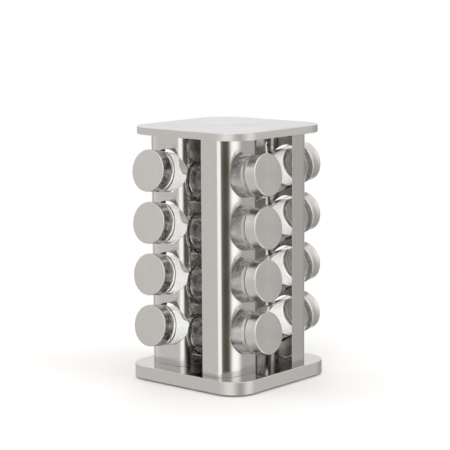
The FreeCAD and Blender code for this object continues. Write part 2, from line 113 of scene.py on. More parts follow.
# Plates.
BASE_CORNER = 32.0 * MM
TOP_CORNER = 38.0 * MM
PLATE_EDGE_ROUND = 0.9 * MM
PLATE_INNER_ROUND = 0.6 * MM
PLATE_BORDER = 12 * MM  # outside this the plate's face is divided more finely
PLATE_RIM = 3 * MM

# Jar, along its own axis from its bottom.
JAR_RADIUS = 25.0 * MM
JAR_WALL = 2.2 * MM
JAR_FLOOR = 4.0 * MM
JAR_FOOT_ROUND = 4.0 * MM
JAR_SHOULDER = 91.5 * MM
NECK_START = 95.0 * MM
NECK_RADIUS = 21.8 * MM
NECK_BORE = 19.2 * MM
NECK_TOP = 109.9 * MM
THREAD_RADIUS = 23.2 * MM
THREAD_PITCH = 5.0 * MM

# Cap, on the same axis.
CAP_START = 96.0 * MM
CAP_TOP = 112.0 * MM
CAP_RADIUS = 25.75 * MM
CAP_GAUGE = 0.5 * MM
CAP_EDGE_ROUND = 1.1 * MM
LINER_RADIUS = 25.1 * MM
LINER_BORE = 23.5 * MM
LINER_SEAL = 110.2 * MM


# Materials


def new_material(name):
    """A material with its nodes and links, holding the usual shader."""
    material = bpy.data.materials.new(name)
    material.use_nodes = True
    return material, material.node_tree.nodes, material.node_tree.links


def stretched_noise(nodes, links, stretch, scale, detail=4.0):
    """Noise over the object's own coordinates, drawn out along one or two axes."""
    place = nodes.new("ShaderNodeTexCoord")
    mapping = nodes.new("ShaderNodeMapping")
    mapping.inputs["Scale"].default_value = stretch
    noise = nodes.new("ShaderNodeTexNoise")
    noise.inputs["Scale"].default_value = scale
    noise.inputs["Detail"].default_value = detail
    links.new(place.outputs["Object"], mapping.inputs["Vector"])
    links.new(mapping.outputs["Vector"], noise.inputs["Vector"])
    return noise


def spread(nodes, links, source, low, high):
    """A noise value remapped to the range low to high."""
    remap = nodes.new("ShaderNodeMapRange")
    remap.inputs["From Min"].default_value = 0.3
    remap.inputs["From Max"].default_value = 0.7
    remap.inputs["To Min"].default_value = low
    remap.inputs["To Max"].default_value = high
    links.new(source.outputs["Fac"], remap.inputs["Value"])
    return remap


def steel(name, colour, roughness, grain, grain_depth, blotch=0.03):
    """Stainless steel: brush grain as bump, and faint handling marks in the roughness."""
    material, nodes, links = new_material(name)
    shader = nodes["Principled BSDF"]
    shader.inputs["Metallic"].default_value = 1.0
    shader.inputs["Anisotropic"].default_value = 0.35
    lines = stretched_noise(nodes, links, grain, 1.0, 3.0)
    marks = stretched_noise(nodes, links, (1, 1, 1), 28.0, 5.0)
    tint = nodes.new("ShaderNodeMix")
    tint.data_type = "RGBA"
    tint.inputs["A"].default_value = (*[channel * 0.97 for channel in colour], 1)
    tint.inputs["B"].default_value = (*[channel * 1.03 for channel in colour], 1)
    shade = spread(nodes, links, lines, 0.0, 1.0)
    links.new(shade.outputs["Result"], tint.inputs["Factor"])
    links.new(tint.outputs["Result"], shader.inputs["Base Color"])
    rough = spread(nodes, links, marks, roughness - blotch, roughness + blotch)
    links.new(rough.outputs["Result"], shader.inputs["Roughness"])
    bump = nodes.new("ShaderNodeBump")
    bump.inputs["Strength"].default_value = 0.25
    bump.inputs["Distance"].default_value = grain_depth
    links.new(lines.outputs["Fac"], bump.inputs["Height"])
    links.new(bump.outputs["Normal"], shader.inputs["Normal"])
    return material


def glass(name):
    """Clear pressed glass with slight waviness in its walls."""
    material, nodes, links = new_material(name)
    shader = nodes["Principled BSDF"]
    shader.inputs["Base Color"].default_value = (0.985, 0.985, 0.975, 1)
    shader.inputs["Transmission Weight"].default_value = 1.0
    shader.inputs["IOR"].default_value = 1.5
    waves = stretched_noise(nodes, links, (1, 1, 0.4), 45.0, 1.0)
    rough = spread(nodes, links, waves, 0.0, 0.006)
    links.new(rough.outputs["Result"], shader.inputs["Roughness"])
    bump = nodes.new("ShaderNodeBump")
    bump.inputs["Strength"].default_value = 0.3
    bump.inputs["Distance"].default_value = 0.25 * MM
    links.new(waves.outputs["Fac"], bump.inputs["Height"])
    links.new(bump.outputs["Normal"], shader.inputs["Normal"])
    return material


def moulded(name, colour, roughness, texture_scale):
    """Moulded plastic or rubber with a fine spark-eroded grain."""
    material, nodes, links = new_material(name)
    shader = nodes["Principled BSDF"]
    grain = stretched_noise(nodes, links, (1, 1, 1), texture_scale, 6.0)
    tint = nodes.new("ShaderNodeMix")
    tint.data_type = "RGBA"
    tint.inputs["A"].default_value = (*[channel * 0.85 for channel in colour], 1)
    tint.inputs["B"].default_value = (*[channel * 1.15 for channel in colour], 1)
    shade = spread(nodes, links, grain, 0.0, 1.0)
    links.new(shade.outputs["Result"], tint.inputs["Factor"])
    links.new(tint.outputs["Result"], shader.inputs["Base Color"])
    rough = spread(nodes, links, grain, roughness - 0.06, roughness + 0.06)
    links.new(rough.outputs["Result"], shader.inputs["Roughness"])
    bump = nodes.new("ShaderNodeBump")
    bump.inputs["Strength"].default_value = 0.3
    bump.inputs["Distance"].default_value = 0.1 * MM
    links.new(grain.outputs["Fac"], bump.inputs["Height"])
    links.new(bump.outputs["Normal"], shader.inputs["Normal"])
    return material


STEEL = (0.62, 0.603, 0.585)
MATERIALS = {
    "column": steel("column_steel", STEEL, 0.17, (40, 40, 1400), 0.006 * MM),
    "skirt": steel("skirt_steel", STEEL, 0.42, (40, 40, 1400), 0.01 * MM),
    # The two plate faces are darker copies of the same steel, top_face's also bluer: their colours paint
    # the shade of what the faces reflect. Their low roughness is the faces' real polish.
    "base_top": steel(
        "base_top_painted_shade_steel", (0.50, 0.485, 0.49), 0.07, (900, 25, 25), 0.004 * MM, blotch=0.02
    ),
    "top_face": steel("top_face_painted_shade_steel", (0.445, 0.45, 0.475), 0.16, (900, 25, 25), 0.01 * MM),
    "cap_face": steel("cap_face_steel", STEEL, 0.28, (40, 1400, 40), 0.008 * MM),
    "cap_side": steel("cap_side_steel", STEEL, 0.24, (30, 30, 1600), 0.006 * MM),
    "zinc": steel("zinc_plate_steel", (0.52, 0.54, 0.56), 0.35, (300, 300, 300), 0.02 * MM),
    "screw": steel("screw_steel", (0.55, 0.55, 0.56), 0.25, (600, 600, 600), 0.01 * MM),
    "ball": steel("ball_steel", (0.65, 0.65, 0.66), 0.08, (200, 200, 200), 0.005 * MM),
    "glass": glass("jar_glass"),
    "liner": moulded("liner_plastic", (0.84, 0.84, 0.78), 0.4, 900.0),
    "plastic": moulded("race_plastic", (0.04, 0.04, 0.045), 0.5, 1200.0),
    "rubber": moulded("pad_rubber", (0.05, 0.05, 0.05), 0.8, 1500.0),
}


# Meshes


def new_piece(name, mesh, materials, matrix=None):
    """An object for a mesh, with its materials, in place."""
    piece = bpy.data.objects.new(name, mesh)
    bpy.context.scene.collection.objects.link(piece)
    if not mesh.materials:
        for key in materials:
            mesh.materials.append(MATERIALS[key])
    if matrix is not None:
        piece.matrix_world = matrix
    return piece


def mesh_from(name, vertices, faces, normals=None, material_of_face=None):
    """A smooth mesh; normals are per vertex, and material_of_face gives each face's slot."""
    mesh = bpy.data.meshes.new(name)
    mesh.from_pydata(vertices, [], faces)
    mesh.polygons.foreach_set("use_smooth", [True] * len(faces))
    if material_of_face:
        mesh.polygons.foreach_set("material_index", material_of_face)
    mesh.update()
    if normals:
        mesh.normals_split_custom_set_from_vertices([tuple(n) for n in normals])
    return mesh


def arc_points(centre, radius, start, end, steps):
    """Points (radius, height) on a profile's rounded corner; angles in degrees."""
    points = []
    for step in range(steps + 1):
        angle = math.radians(start + (end - start) * step / steps)
        points.append((centre[0] + radius * math.cos(angle), centre[1] + radius * math.sin(angle)))
    return points


def split_profile(points, longest):
    """The same profile with its long straight stretches divided."""
    result = [points[0]]
    for (r0, z0), (r1, z1) in zip(points, points[1:]):
        pieces = max(1, math.ceil(math.hypot(r1 - r0, z1 - z0) / longest))
        for piece in range(1, pieces + 1):
            share = piece / pieces
            result.append((r0 + (r1 - r0) * share, z0 + (z1 - z0) * share))
    return result


def lathe(name, profile, displaced=None, slot_of_band=None):
    """A closed surface turned from a profile of (radius, height) whose ends lie on the axis,
    or whose ends meet. The displaced function may change a point's radius by its angle."""
    ring_closed = profile[0] == profile[-1]
    if ring_closed:
        profile = profile[:-1]
    vertices, rings = [], []
    for radius, height in profile:
        if radius < 1e-9:
            rings.append([len(vertices)])
            vertices.append((0, 0, height))
            continue
        ring = []
        for step in range(AROUND):
            angle = 2 * math.pi * step / AROUND
            turned = displaced(radius, height, angle) if displaced else radius
            ring.append(len(vertices))
            vertices.append((turned * math.cos(angle), turned * math.sin(angle), height))
        rings.append(ring)
    faces, slots = [], []
    bands = list(zip(rings, rings[1:]))
    if ring_closed:
        bands.append((rings[-1], rings[0]))
    for band, (lower, upper) in enumerate(bands):
        for step in range(AROUND):
            following = (step + 1) % AROUND
            if len(lower) == 1:
                faces.append((lower[0], upper[following], upper[step]))
            elif len(upper) == 1:
                faces.append((lower[step], lower[following], upper[0]))
            else:
                faces.append((lower[step], lower[following], upper[following], upper[step]))
            slots.append(slot_of_band(band) if slot_of_band else 0)
    return mesh_from(name, vertices, faces, material_of_face=slots)


def outward(mesh):
    """Turn every face outward and keep edges sharper than 40 degrees crisp."""
    shape = bmesh.new()
    shape.from_mesh(mesh)
    bmesh.ops.recalc_face_normals(shape, faces=shape.faces)
    shape.to_mesh(mesh)
    shape.free()
    mesh.set_sharp_from_angle(angle=math.radians(40))
    return mesh


# Jars


def thread_bump(radius, height, angle):
    """The neck's screw thread: a low rounded ridge that climbs round the neck."""
    start, end = NECK_START + 3.2 * MM, NECK_TOP - 2.0 * MM
    if abs(radius - NECK_RADIUS) > 1e-6 or not start < height < end:
        return radius
    phase = ((height - start) / THREAD_PITCH - angle / (2 * math.pi)) % 1.0
    ridge = max(0.0, math.cos((phase - 0.5) * 2 * math.pi)) ** 0.7
    fade = min(1.0, (height - start) / MM, (end - height) / MM)
    return radius + (THREAD_RADIUS - NECK_RADIUS) * ridge * fade


def jar_mesh():
    """Pressed glass jar: pushed-up floor, rounded heel, round shoulder and threaded neck."""
    inner = JAR_RADIUS - JAR_WALL
    push_up = 1.3 * MM
    stand = JAR_RADIUS - JAR_FOOT_ROUND
    outside = [(0, push_up), (stand - 6 * MM, push_up * 0.85), (stand - 2.5 * MM, push_up * 0.3)]
    outside += [(stand - 1 * MM, 0.05 * MM)]
    outside += arc_points((stand, JAR_FOOT_ROUND), JAR_FOOT_ROUND, -90, 0, 8)
    shoulder_round = 3.2 * MM
    centre = (JAR_RADIUS - shoulder_round, JAR_SHOULDER)
    outside += split_profile([outside[-1], (JAR_RADIUS, JAR_SHOULDER)], 12 * MM)[1:]
    outside += arc_points(centre, shoulder_round, 0, 80, 7)[1:]
    outside += [(NECK_RADIUS + 0.15 * MM, NECK_START - 0.2 * MM), (NECK_RADIUS, NECK_START + 0.4 * MM)]
    outside += split_profile([outside[-1], (NECK_RADIUS, NECK_TOP - 1.0 * MM)], 0.5 * MM)[1:]
    outside += arc_points((NECK_RADIUS - 1.0 * MM, NECK_TOP - 1.0 * MM), 1.0 * MM, 0, 90, 4)[1:]
    lip = 0.8 * MM
    inside = arc_points((NECK_BORE + lip, NECK_TOP - lip), lip, 90, 180, 4)
    inside += [(NECK_BORE, NECK_START + 0.5 * MM), (NECK_BORE + 0.6 * MM, NECK_START - 1.2 * MM)]
    inside += [(inner - 0.9 * MM, JAR_SHOULDER - 0.2 * MM), (inner - 0.15 * MM, JAR_SHOULDER - 2.2 * MM)]
    inside += [(inner, JAR_SHOULDER - 4 * MM)]
    heel = 4.5 * MM
    inside += split_profile([inside[-1], (inner, JAR_FLOOR + heel)], 12 * MM)[1:]
    floor_round = arc_points((inner - heel, JAR_FLOOR + heel), heel, 0, -90, 8)
    inside += floor_round[1:]
    inside += [(inner - heel - 6 * MM, JAR_FLOOR + 0.5 * MM), (0, JAR_FLOOR + 0.9 * MM)]
    mesh = lathe("jar", outside + inside, displaced=thread_bump)
    return outward(mesh)


def cap_shell_mesh():
    """Drawn steel cap: flat face, small round edge, straight side and a rolled back bead."""
    under = CAP_TOP - CAP_GAUGE
    inner = CAP_RADIUS - CAP_GAUGE
    bead = 0.65 * MM
    corner = (CAP_RADIUS - CAP_EDGE_ROUND, CAP_TOP - CAP_EDGE_ROUND)
    profile = [(0, CAP_TOP)]
    profile += [(CAP_RADIUS * share, CAP_TOP) for share in (0.3, 0.6, 0.85)]
    profile += [(CAP_RADIUS - 2.4 * MM, CAP_TOP)]
    face_bands = len(profile)
    profile += arc_points(corner, CAP_EDGE_ROUND, 90, 0, 8)
    side_start = CAP_RADIUS - 0.18 * MM
    profile += [(CAP_RADIUS, CAP_TOP - 2.0 * MM), (side_start, CAP_TOP - 2.6 * MM)]
    profile += [(side_start, CAP_START + 2.4 * MM), (CAP_RADIUS - 0.12 * MM, CAP_START + 1.8 * MM)]
    profile += arc_points((CAP_RADIUS - bead, CAP_START + bead), bead, 60, -180, 12)
    profile += [(inner - 0.6 * MM, CAP_START + 1.6 * MM), (inner, CAP_START + 2.2 * MM)]
    inner_round = CAP_EDGE_ROUND - CAP_GAUGE
    profile += arc_points((inner - inner_round, under - inner_round), inner_round, 0, 90, 4)
    profile += [(0, under)]

    def slot_of_band(band):
        return 0 if band < face_bands else 1

    return outward(lathe("cap_shell", profile, slot_of_band=slot_of_band))


def cap_liner_mesh():
    """Plastic insert: a cup with a soft seal face and a plain bore."""
    foot = CAP_START + 2.4 * MM
    top = CAP_TOP - CAP_GAUGE - 0.1 * MM
    profile = [(0, top), (LINER_RADIUS - 1.2 * MM, top), (LINER_RADIUS, top - 1.2 * MM)]
    profile += [(LINER_RADIUS, foot + 0.3 * MM), (LINER_RADIUS - 0.3 * MM, foot)]
    profile += [(LINER_BORE + 0.3 * MM, foot), (LINER_BORE, foot + 0.4 * MM)]
    profile += [(LINER_BORE, LINER_SEAL - 0.3 * MM), (LINER_BORE - 0.3 * MM, LINER_SEAL)]
    profile += [(NECK_BORE + 0.2 * MM, LINER_SEAL), (NECK_BORE - 0.4 * MM, LINER_SEAL + 0.25 * MM)]
    profile += [(0, LINER_SEAL + 0.25 * MM)]
    return outward(lathe("cap_liner", profile))


def axis_matrix(node, axis, turn):
    """The place of a turned part: its local Z along the axis, its origin at the near end."""
    along = Vector(axis).normalized()
    side = along.cross(Vector((0, 0, 1))).normalized()
    up = side.cross(along)
    points = [vertex.co for vertex in frame["nodes"][node].data.vertices]
    start = min(point.dot(along) for point in points)
    middle = []
    for direction in (side, up):
        reaches = [point.dot(direction) for point in points]
        middle.append((min(reaches) + max(reaches)) / 2)
    origin = along * start + side * middle[0] + up * middle[1]
    matrix = Matrix((up, side, along)).transposed()
    if matrix.determinant() < 0:
        matrix = Matrix((side, up, along)).transposed()
    return Matrix.Translation(origin) @ matrix.to_4x4() @ Matrix.Rotation(math.radians(turn), 4, "Z")


# Columns


class SheetLine:
    """The outer line of a column's sheet from its flange edge to its return edge."""

    def __init__(self):
        bend_y = CORNER_BEND - FLANGE_FACE
        self.bow_centre = (HOLE_FACE - CORNER_BOW, -HOLE_FACE_START)
        reach = (CORNER_BOW - CORNER_BEND) ** 2 - (bend_y - self.bow_centre[1]) ** 2
        bend_x = self.bow_centre[0] + math.sqrt(reach)
        meeting = math.atan2(bend_y - self.bow_centre[1], bend_x - self.bow_centre[0])
        self.return_centre = (HOLE_FACE - RETURN_BEND, -HOLE_FACE_END)
        return_y = self.return_centre[1] + RETURN_BEND
        right = math.pi / 2
        self.stretches = [
            ("line", (FLANGE_EDGE, -FLANGE_FACE), (bend_x, -FLANGE_FACE), -right),
            ("arc", (bend_x, bend_y), CORNER_BEND, (-right, meeting)),
            ("arc", self.bow_centre, CORNER_BOW, (meeting, 0)),
            ("line", (HOLE_FACE, -HOLE_FACE_START), (HOLE_FACE, -HOLE_FACE_END), 0),
            ("arc", self.return_centre, RETURN_BEND, (0, right)),
            ("line", (self.return_centre[0], return_y), (-RETURN_EDGE, return_y), right),
        ]
        self.starts = [0.0]
        for stretch in self.stretches:
            self.starts.append(self.starts[-1] + self.length(stretch))
        self.total = self.starts[-1]

    @staticmethod
    def length(stretch):
        if stretch[0] == "line":
            return math.dist(stretch[1], stretch[2])
        return stretch[2] * (stretch[3][1] - stretch[3][0])

    def point(self, along, depth=0.0):
        """The point a distance along the outer line and a depth into the sheet, and its normal."""
        index = max(i for i in range(len(self.stretches)) if self.starts[i] <= along + 1e-12)
        stretch = self.stretches[index]
        gone = along - self.starts[index]
        if stretch[0] == "line":
            share = gone / self.length(stretch)
            base = [a + (b - a) * share for a, b in zip(stretch[1], stretch[2])]
            angle = stretch[3]
        else:
            angle = stretch[3][0] + gone / stretch[2]
            base = [
                stretch[1][0] + stretch[2] * math.cos(angle),
                stretch[1][1] + stretch[2] * math.sin(angle),
            ]
        normal = (math.cos(angle), math.sin(angle))
        return (base[0] - depth * normal[0], base[1] - depth * normal[1]), normal

    def along_at(self, y):
        """How far along the line it reaches a height y, between the bow and the return."""
        if y < -HOLE_FACE_START:
            angle = math.asin((y - self.bow_centre[1]) / CORNER_BOW)
            return self.starts[2] + CORNER_BOW * (angle - self.stretches[2][3][0])
        if y < -HOLE_FACE_END:
            return self.starts[3] + y + HOLE_FACE_START
        return self.starts[4] + RETURN_BEND * math.asin((y - self.return_centre[1]) / RETURN_BEND)


def even(start, end, longest):
    """Marks from start to end, evenly spaced and no further apart than longest."""
    pieces = max(1, math.ceil((end - start) / longest - 1e-9))
    return [start + (end - start) * piece / pieces for piece in range(pieces + 1)]


class SheetMesh:
    """Collects the vertices of a sheet's two faces, with their true normals."""

    def __init__(self, line, low, high):
        self.line, self.low, self.high = line, low, high
        self.vertices, self.normals, self.faces = [], [], []
        self.known = {}  # a vertex's number by its place and side

    def vertex(self, along, height, inner, lean=None, sunk=None):
        """A vertex of one face. Its normal leans towards lean, a direction (along, height),
        and it lies a depth sunk below the face. Without lean, the sheet's own edges lean."""
        key = (round(along, 7), round(height, 7), inner)
        if key in self.known:
            return self.known[key]
        line = self.line
        if lean is None:
            lean = [0.0, 0.0]
            if along < TOUCH or along > line.total - TOUCH:
                lean[0] = -1.0 if along < TOUCH else 1.0
            if height < self.low + TOUCH or height > self.high - TOUCH:
                lean[1] = -1.0 if height < self.low + TOUCH else 1.0
            sunk = EDGE_BREAK if any(lean) else 0.0
            if lean[1] < 0 and not inner:
                sunk = FOOT_BREAK
        depth = SHEET_GAUGE - sunk if inner else sunk
        (x, y), (nx, ny) = line.point(along, depth)
        sign = -1.0 if inner else 1.0
        normal = Vector((sign * nx - lean[0] * ny, sign * ny + lean[0] * nx, lean[1])).normalized()
        self.known[key] = len(self.vertices)
        self.vertices.append((x, y, height))
        self.normals.append(normal)
        return self.known[key]

    def quad(self, corners, inner):
        """A face through four vertices, facing outward or, on the inner face, inward."""
        self.faces.append(tuple(reversed(corners)) if inner else tuple(corners))

    def patch(self, along_marks, height_marks):
        """A regular patch on both faces."""
        for inner in (False, True):
            for a0, a1 in zip(along_marks, along_marks[1:]):
                for h0, h1 in zip(height_marks, height_marks[1:]):
                    ring = [(a0, h0), (a1, h0), (a1, h1), (a0, h1)]
                    self.quad([self.vertex(a, h, inner) for a, h in ring], inner)

    def wall(self, ring):
        """The cut edge between the two faces, along a closed ring of (along, height)."""
        for (a0, h0), (a1, h1) in zip(ring, ring[1:] + ring[:1]):
            self.faces.append(
                (
                    self.vertex(a1, h1, False),
                    self.vertex(a0, h0, False),
                    self.vertex(a0, h0, True),
                    self.vertex(a1, h1, True),
                )
            )

    def holed_patch(self, along_marks, height_marks, hole):
        """A patch with a rounded hole in it, on both faces; hole gives the outline by angle."""
        rim = [(a, height_marks[0]) for a in along_marks[:-1]]
        rim += [(along_marks[-1], h) for h in height_marks[:-1]]
        rim += [(a, height_marks[-1]) for a in reversed(along_marks[1:])]
        rim += [(along_marks[0], h) for h in reversed(height_marks[1:])]
        middle = ((along_marks[0] + along_marks[-1]) / 2, (height_marks[0] + height_marks[-1]) / 2)
        edge = [hole(math.atan2(h - middle[1], a - middle[0])) for a, h in rim]
        for inner in (False, True):
            radius = EDGE_BREAK if inner else HOLE_EDGE_ROUND
            rings = []
            for angle in (0, 22, 45, 67, 90):
                out = math.cos(math.radians(angle))
                up = math.sin(math.radians(angle))
                ring = []
                for (a, h), (ea, eh) in zip(rim, edge):
                    away = Vector((ea - a, eh - h)).normalized()
                    place = Vector((ea, eh)) - away * radius * (1 - out)
                    lean = away * (out / max(up, 0.05))  # never divides by nought
                    ring.append(self.vertex(*place, inner, lean, radius * (1 - up)))
                rings.append(ring)
            for share in (0.3, 0.6, 1.0):
                ring = []
                for (a, h), (ea, eh) in zip(rim, edge):
                    place = (ea + (a - ea) * share, eh + (h - eh) * share)
                    ring.append(self.vertex(*place, inner))
                rings.append(ring)
            for near, far in zip(rings, rings[1:]):
                for step in range(len(rim)):
                    following = (step + 1) % len(rim)
                    corners = [near[step], far[step], far[following], near[following]]
                    self.quad(corners, inner)
        self.wall(list(reversed(edge)))


def hole_outline(line, jar_origin, axis):
    """The outline, on the sheet's outer line, of a round cut along a jar's axis."""
    cos_tilt, sin_tilt = axis.x, axis.z

    def outline(angle):
        y = jar_origin.y + HOLE_RADIUS * math.cos(angle)
        along = line.along_at(y)
        (x, _), _ = line.point(along)
        on_axis = jar_origin.z + (x - jar_origin.x) * sin_tilt / cos_tilt
        return along, on_axis + (HOLE_LIFT + HOLE_RADIUS * math.sin(angle)) / cos_tilt

    return outline


def add_box(vertices, faces, normals, low, high):
    """A small plate between two corners, added to a mesh's lists with flat normals."""
    sides = (
        ((0, 3, 2, 1), (0, 0, -1)),
        ((4, 5, 6, 7), (0, 0, 1)),
        ((0, 1, 5, 4), (0, -1, 0)),
        ((1, 2, 6, 5), (1, 0, 0)),
        ((2, 3, 7, 6), (0, 1, 0)),
        ((3, 0, 4, 7), (-1, 0, 0)),
    )
    outline = ((low[0], low[1]), (high[0], low[1]), (high[0], high[1]), (low[0], high[1]))
    corners = [(x, y, z) for z in (low[2], high[2]) for x, y in outline]
    for indices, normal in sides:
        start = len(vertices)
        vertices.extend(corners[index] for index in indices)
        normals.extend([Vector(normal)] * 4)
        faces.append(tuple(range(start, start + 4)))


def column_mesh(low, high, jar_origins, axis):
    """One column: the bent sheet with its holes, its end tabs and the tongues under jars."""
    line = SheetLine()
    sheet = SheetMesh(line, low, high)
    left = line.along_at(JAR_OFFSET - HOLE_RADIUS) - HOLE_MARGIN
    right = line.along_at(JAR_OFFSET + HOLE_RADIUS) + HOLE_MARGIN
    first = [0.0, EDGE_BREAK] + even(EDGE_BREAK, line.starts[1], FLANGE_STEP)[1:]
    first += even(line.starts[1], line.starts[2], BEND_STEP)[1:]
    first += even(line.starts[2], left, BOW_STEP)[1:]
    middle = even(left, right, HOLE_STEP_ALONG)
    last = even(right, line.total - EDGE_BREAK, PLAIN_STEP) + [line.total]

    half_cell = abs(jar_origins[1].z - jar_origins[0].z) / 2
    tops = sorted(hole_outline(line, origin, axis)(math.pi / 2)[1] for origin in jar_origins)
    centres = [top - HOLE_RADIUS / axis.x for top in tops]
    heights = [low, low + FOOT_BREAK]
    heights += even(low + FOOT_BREAK, centres[0] - half_cell, PLAIN_STEP)[1:]
    cells = []
    for centre in centres:
        cell = even(centre - half_cell, centre + half_cell, HOLE_STEP_UP)
        cells.append(cell)
        heights += cell[1:]
    heights += even(heights[-1], high - EDGE_BREAK, PLAIN_STEP)[1:] + [high]

    sheet.patch(first, heights)
    sheet.patch(last, heights)
    below = [h for h in heights if h <= cells[0][0] + TOUCH]
    above = [h for h in heights if h >= cells[-1][-1] - TOUCH]
    sheet.patch(middle, below)
    sheet.patch(middle, above)
    for cell, origin in zip(cells, sorted(jar_origins, key=lambda place: place.z)):
        sheet.holed_patch(middle, cell, hole_outline(line, origin, axis))
    across = first + middle[1:] + last[1:]
    border = [(a, low) for a in across[:-1]] + [(line.total, h) for h in heights[:-1]]
    border += [(a, high) for a in reversed(across[1:])] + [(0.0, h) for h in reversed(heights[1:])]
    sheet.wall(border)

    vertices, faces, normals = sheet.vertices, sheet.faces, sheet.normals
    return_y = -HOLE_FACE_END + RETURN_BEND
    half = TAB_SIZE / 2
    outer_y = -(HOLE_FACE_START + HOLE_FACE_END) / 2
    for bottom in (low, high - SHEET_GAUGE):
        top = bottom + SHEET_GAUGE
        add_box(vertices, faces, normals, (OUTER_TAB_REACH - half, outer_y - half, bottom),
                (HOLE_FACE - SHEET_GAUGE / 2, outer_y + half, top))
        add_box(vertices, faces, normals, (INNER_TAB_REACH - half, return_y - TAB_SIZE, bottom),
                (INNER_TAB_REACH + half, return_y - SHEET_GAUGE / 2, top))
    for origin in jar_origins:
        top = origin.z - TONGUE_DROP
        reach = -origin.y - TONGUE_WIDTH / 2
        add_box(vertices, faces, normals, (reach, return_y - SHEET_GAUGE / 2, top - SHEET_GAUGE),
                (reach + TONGUE_WIDTH, return_y + TONGUE_DEPTH, top))
    return mesh_from("column", vertices, faces, normals)


# Plates


def rounded_ring(side, corner, inset, height, steps=20, flat_steps=6):
    """A closed ring round a square with round corners, moved in by an inset."""
    radius = corner - inset
    flat = side / 2 - corner
    points, normals = [], []
    for quarter in range(4):
        start = math.pi / 2 * quarter
        for step in range(steps + 1):
            angle = start + math.pi / 2 * step / steps
            cx, cy = [(1, 1), (-1, 1), (-1, -1), (1, -1)][quarter]
            x = cx * flat + radius * math.cos(angle)
            y = cy * flat + radius * math.sin(angle)
            points.append((x, y, height))
            normals.append((math.cos(angle), math.sin(angle)))
        for step in range(1, flat_steps):
            x, y, _ = points[-1]
            angle = start + math.pi / 2
            share = 2 * flat / flat_steps
            points.append((x - share * math.sin(angle), y + share * math.cos(angle), height))
            normals.append((math.cos(angle), math.sin(angle)))
    return points, normals


def pan_mesh(name, side, corner, low, high):
    """A folded pan: flat face, rounded rim, skirt with a broken lower edge, hollow below.
    The profile's rows are (inset, height, outward part of the normal, upward part)."""
    gauge = SHEET_GAUGE
    under = high - gauge
    profile = [(inset, high, 0.0, 1.0) for inset in (PLATE_BORDER, PLATE_RIM)]
    face_bands = len(profile) + 1
    rim_steps = 6
    for step in range(rim_steps + 1):
        angle = math.pi / 2 * step / rim_steps
        profile.append((
            PLATE_EDGE_ROUND * (1 - math.sin(angle)),
            high - PLATE_EDGE_ROUND * (1 - math.cos(angle)),
            math.sin(angle),
            math.cos(angle),
        ))
    profile += [
        (0.0, low + EDGE_BREAK, 1.0, 0.0),
        (EDGE_BREAK, low, 0.3, -1.0),
        (gauge - EDGE_BREAK, low, -0.3, -1.0),
        (gauge, low + EDGE_BREAK, -1.0, 0.0),
        (gauge, under - PLATE_INNER_ROUND, -1.0, 0.0),
        (gauge + PLATE_INNER_ROUND, under, 0.0, -1.0),
        (PLATE_BORDER, under, 0.0, -1.0),
    ]
    vertices, normals, faces, slots, rings = [], [], [], [], []
    for inset, height, out, up in profile:
        points, directions = rounded_ring(side, corner, inset, height)
        rings.append(list(range(len(vertices), len(vertices) + len(points))))
        vertices += points
        normals += [Vector((dx * out, dy * out, up)).normalized() for dx, dy in directions]
    for band, (upper, lower) in enumerate(zip(rings, rings[1:])):
        for step in range(len(upper)):
            following = (step + 1) % len(upper)
            faces.append((upper[step], lower[step], lower[following], upper[following]))
            slots.append(0 if band < face_bands else 1)
    faces.append(tuple(rings[0]))
    slots.append(0)
    faces.append(tuple(reversed(rings[-1])))
    slots.append(1)
    return mesh_from(name, vertices, faces, normals, slots)


# Assembly

SCREWED_SPREAD = 14  # degrees by which the jars are turned unlike one another


def make_plates():
    """The base tray and the top plate: polished faces, whose darker colour is painted shade, and satin
    skirts.
    """
    for node, corner, face in (
        ("base_tray", BASE_CORNER, "base_top"),
        ("top_plate", TOP_CORNER, "top_face"),
    ):
        low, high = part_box(node)
        mesh = pan_mesh(node + "_pan", high.x - low.x, corner, low.z, high.z)
        piece = new_piece(node + "_pan", mesh, (face, "skirt"))
        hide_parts(node)
        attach(piece, "rotor")


def joint_axis(child):
    """The axis of the joint that moves a body."""
    return next(joint["axis"] for joint in frame["joints"] if joint["child"] == child)


def make_columns():
    """The four columns: one mesh, turned into each row's place."""
    low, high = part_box("column_panel_b")
    axis = Vector(joint_axis("jar_b1"))
    origins = [axis_matrix(f"jar_b{level}", axis, 0).translation for level in LEVELS]
    mesh = column_mesh(low.z, high.z, origins, axis)
    for row, turn in ROWS.items():
        matrix = Matrix.Rotation(math.radians(turn), 4, "Z")
        piece = new_piece(f"column_{row}", mesh, ("column",), matrix)
        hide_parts(f"column_panel_{row}")
        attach(piece, "rotor")


def make_jars():
    """Glass jars and their caps; each is turned a different way on its own axis."""
    jar, shell, liner = jar_mesh(), cap_shell_mesh(), cap_liner_mesh()
    index = 0
    for row in ROWS:
        for level in LEVELS:
            node, cap = f"jar_{row}{level}", f"cap_{row}{level}"
            index += 1
            turn = SCREWED_SPREAD * math.sin(2.4 * index)
            matrix = axis_matrix(node, joint_axis(node), turn)
            glass_piece = new_piece(f"glass_{row}{level}", jar, ("glass",), matrix)
            glass_piece.visible_diffuse = False  # light reaches the pieces behind the glass
            glass_piece.visible_shadow = False
            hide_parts(node)
            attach(glass_piece, node)
            shell_piece = new_piece(f"shell_{row}{level}", shell, ("cap_face", "cap_side"), matrix)
            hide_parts(cap)
            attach(shell_piece, cap)
            liner_piece = new_piece(f"liner_{row}{level}", liner, ("liner",), matrix)
            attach(liner_piece, cap)


